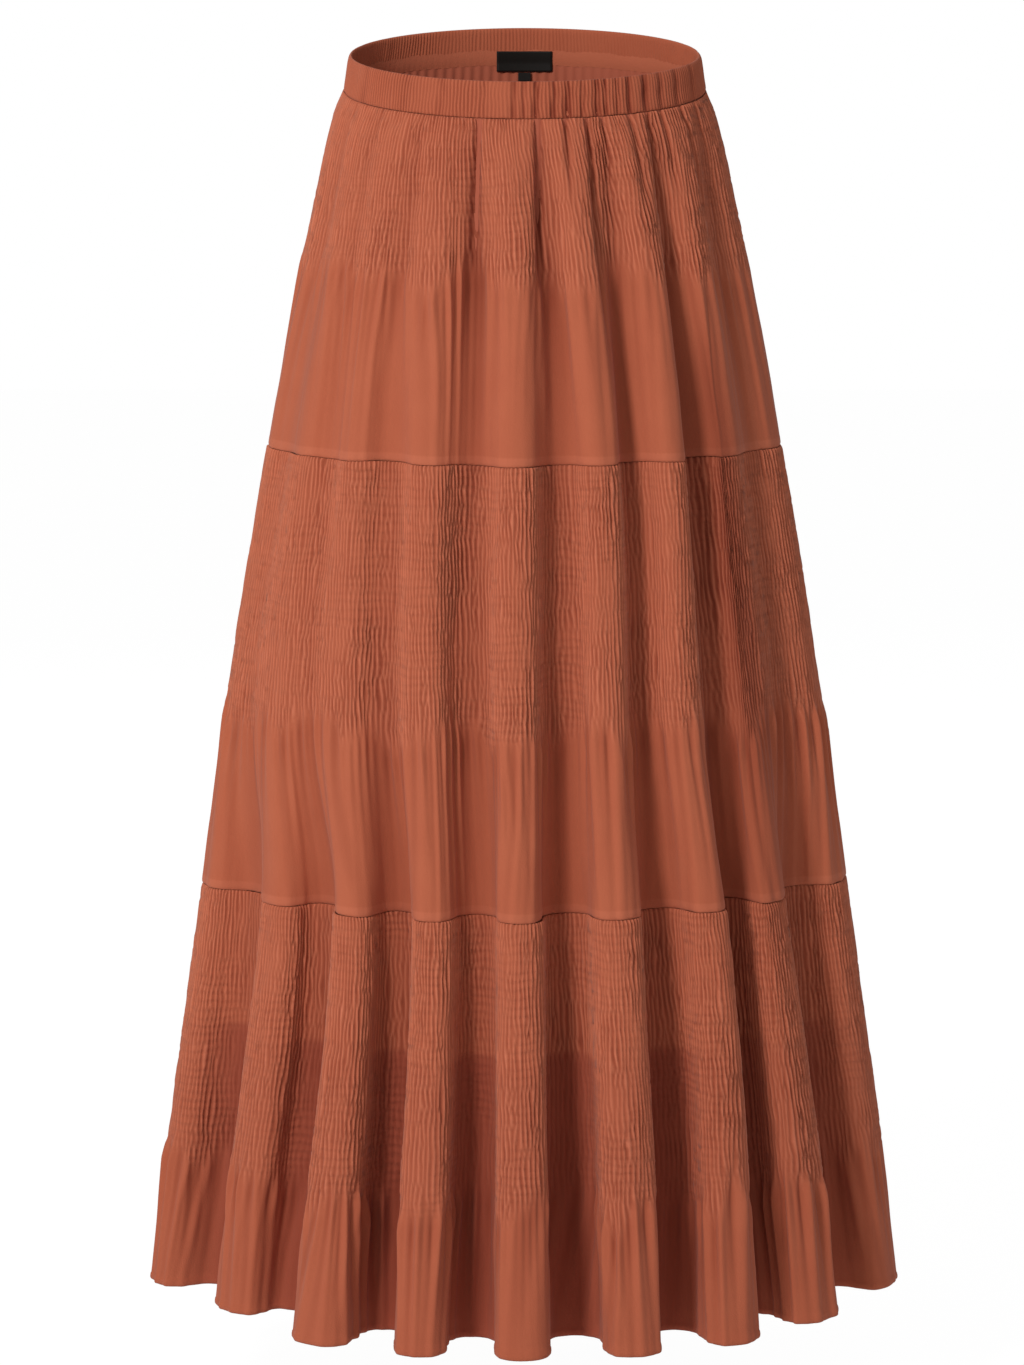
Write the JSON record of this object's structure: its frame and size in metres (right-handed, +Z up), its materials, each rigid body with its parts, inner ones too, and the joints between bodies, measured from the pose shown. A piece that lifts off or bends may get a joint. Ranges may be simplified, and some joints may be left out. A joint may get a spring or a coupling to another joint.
{
  "type": "skirt",
  "caption": "Long A-line skirt in shirred tiers on an elastic waistband, hollow and hanging as worn, with deep soft folds at the hem and a shorter lining.",
  "frame": {"origin": "centre of the waist opening, level with its rim at the two sides", "axes": "+Z up along the skirt's length, -Y the way the front faces, +X to the right of someone looking at the front, which is the wearer's left"},
  "size_m": [0.5803, 0.4764, 0.969],
  "materials": {
    "shirred_cloth": "matt crinkled rust-brown viscose",
    "lining_cloth": "matt plain woven lining",
    "label_tape": "black woven satin tape, plain"
  },
  "bodies": {
    "root": {"waistband": "shirred_cloth", "tier_1_front": "shirred_cloth", "tier_1_back": "shirred_cloth", "tier_2_front": "shirred_cloth", "tier_2_back": "shirred_cloth", "tier_3_front": "shirred_cloth", "tier_3_back": "shirred_cloth", "lining_front": "lining_cloth", "lining_back": "lining_cloth", "label": "label_tape", "size_tab": "label_tape"}
  },
  "joints": []
}
